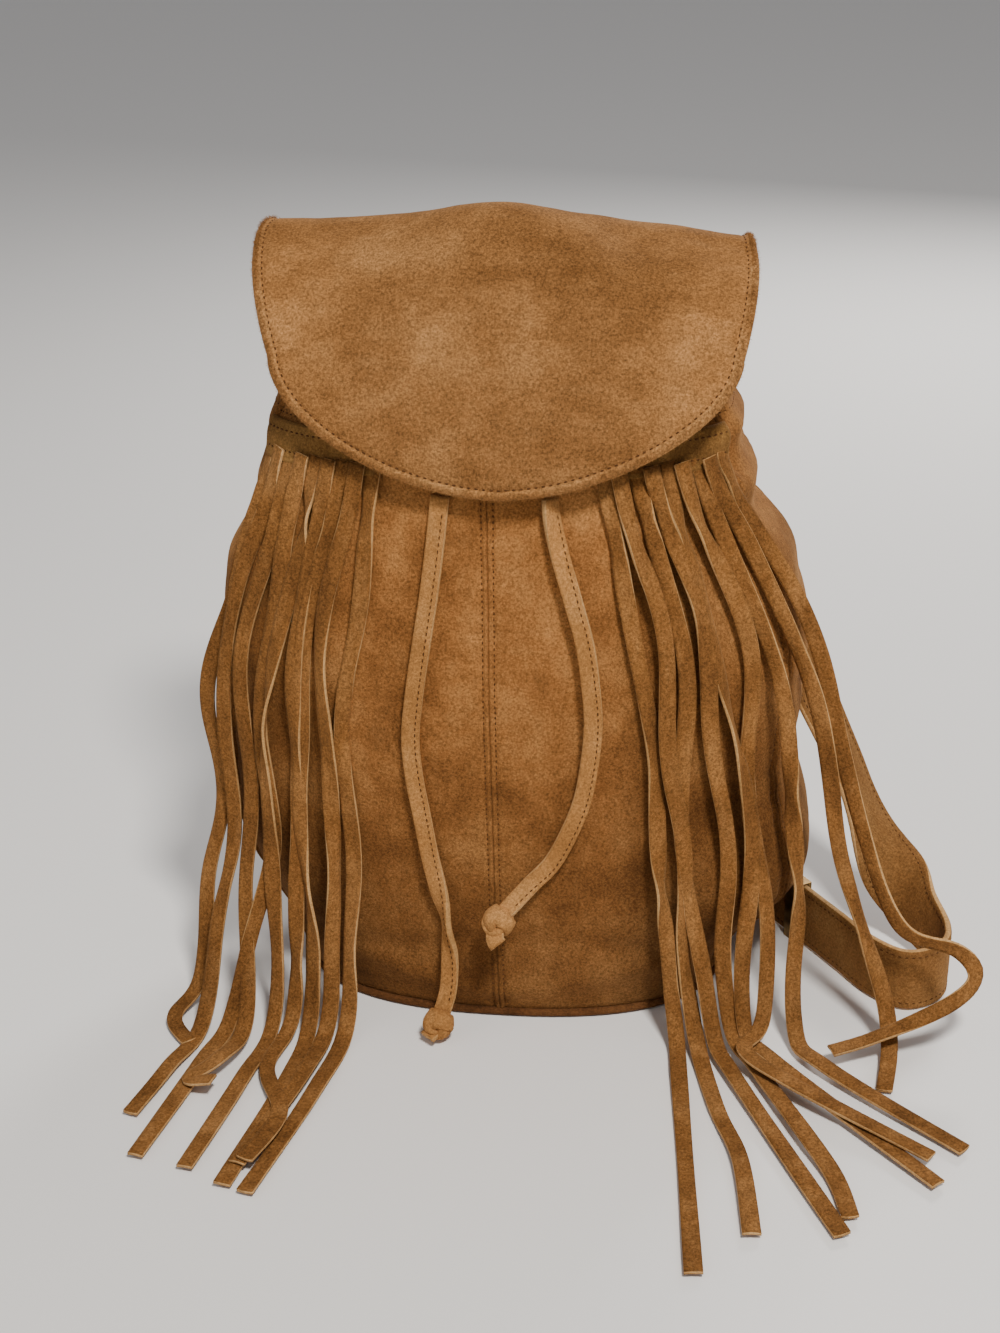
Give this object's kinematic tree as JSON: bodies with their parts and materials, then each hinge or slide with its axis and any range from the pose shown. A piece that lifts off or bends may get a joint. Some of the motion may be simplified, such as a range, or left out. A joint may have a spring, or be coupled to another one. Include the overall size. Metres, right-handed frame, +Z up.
{
  "type": "fringed drawstring backpack",
  "caption": "Soft suede backpack with a drawstring mouth, rounded fold-over flap, long side fringes and two shoulder straps.",
  "frame": {"origin": "centre of the flat base, where the bag stands", "axes": "+Z up, -Y to the front where the flap and fringes hang, +X to the right of the front view"},
  "size_m": [0.424, 0.4434, 0.4049],
  "materials": {
    "suede_body": "napped suede, matte",
    "suede_flap": "napped suede, matte",
    "suede_fringe": "napped suede, matte",
    "suede_string": "napped suede, matte",
    "suede_strap": "napped suede, matte",
    "suede_dark": "napped suede, matte",
    "lining_cloth": "plain weave cotton",
    "board": "matte",
    "brass": "brushed antique"
  },
  "bodies": {
    "bag": {"base_panel": "suede_body", "base_welt": "suede_dark", "base_stiffener": "board", "front_panel_left": "suede_body", "front_panel_right": "suede_body", "side_panel_left": "suede_body", "side_panel_right": "suede_body", "back_panel": "suede_body", "lining": "lining_cloth", "lining_base": "lining_cloth", "channel_facing": "suede_body", "eyelet_left": "brass", "eyelet_right": "brass", "drawstring": "suede_string", "back_yoke": "suede_body", "flap_seam_strip": "suede_flap", "snap_socket": "brass", "fringe_band_left": "suede_body", "fringe_band_right": "suede_body", "lower_strap_tab_left": "suede_body", "lower_strap_tab_right": "suede_body"},
    "flap": {"flap_outer": "suede_flap", "flap_lining": "lining_cloth", "snap_stud": "brass"},
    "handle": {"grab_handle": "suede_strap"},
    "strap_left": {"shoulder_strap_left": "suede_strap"},
    "strap_right": {"shoulder_strap_right": "suede_strap"},
    "slider_left": {"strap_slider_left": "brass"},
    "slider_right": {"strap_slider_right": "brass"},
    "tail_left": {"drawstring_tail_left": "suede_string", "knot_left": "suede_string"},
    "tail_right": {"drawstring_tail_right": "suede_string", "knot_right": "suede_string"},
    "fringe_left": {"fringe_strands_left": "suede_fringe"},
    "fringe_right": {"fringe_strands_right": "suede_fringe"}
  },
  "joints": [
    {"name": "flap_hinge", "type": "hinge", "parent": "bag", "child": "flap", "pos_m": [0, 0.05, 0.368], "axis": [-1, 0, 0], "range_deg": [0, 105]},
    {"name": "handle_hinge", "type": "hinge", "parent": "bag", "child": "handle", "pos_m": [0, 0.056, 0.352], "axis": [1, 0, 0], "range_deg": [0, 75]},
    {"name": "strap_right_swing", "type": "hinge", "parent": "bag", "child": "strap_right", "pos_m": [0.031, 0.057, 0.347], "axis": [-0.2178, -0.0164, 0.9758], "range_deg": [0, 35]},
    {"name": "strap_left_swing", "type": "hinge", "parent": "bag", "child": "strap_left", "pos_m": [-0.0647, 0.057, 0.3607], "axis": [0.1146, -0.0204, 0.9932], "range_deg": [0, 25]},
    {"name": "slider_right_slide", "type": "slide", "parent": "strap_right", "child": "slider_right", "axis": [-0.5812, 0.8137, 0], "range_m": [-0.018, 0.018]},
    {"name": "slider_left_slide", "type": "slide", "parent": "strap_left", "child": "slider_left", "axis": [-0.4299, -0.9029, 0], "range_m": [-0.018, 0.018]},
    {"name": "tail_left_swing", "type": "hinge", "parent": "bag", "child": "tail_left", "pos_m": [-0.022, -0.067, 0.291], "axis": [-1, 0, 0], "range_deg": [0, 40]},
    {"name": "tail_right_swing", "type": "hinge", "parent": "bag", "child": "tail_right", "pos_m": [0.03, -0.067, 0.291], "axis": [-1, 0, 0], "range_deg": [0, 40]},
    {"name": "fringe_left_swing", "type": "hinge", "parent": "bag", "child": "fringe_left", "pos_m": [-0.078, -0.0545, 0.297], "axis": [-0.9124, 0.4092, 0], "range_deg": [0, 20]},
    {"name": "fringe_right_swing", "type": "hinge", "parent": "bag", "child": "fringe_right", "pos_m": [0.078, -0.0545, 0.297], "axis": [-0.9124, -0.4092, 0], "range_deg": [0, 20]}
  ]
}
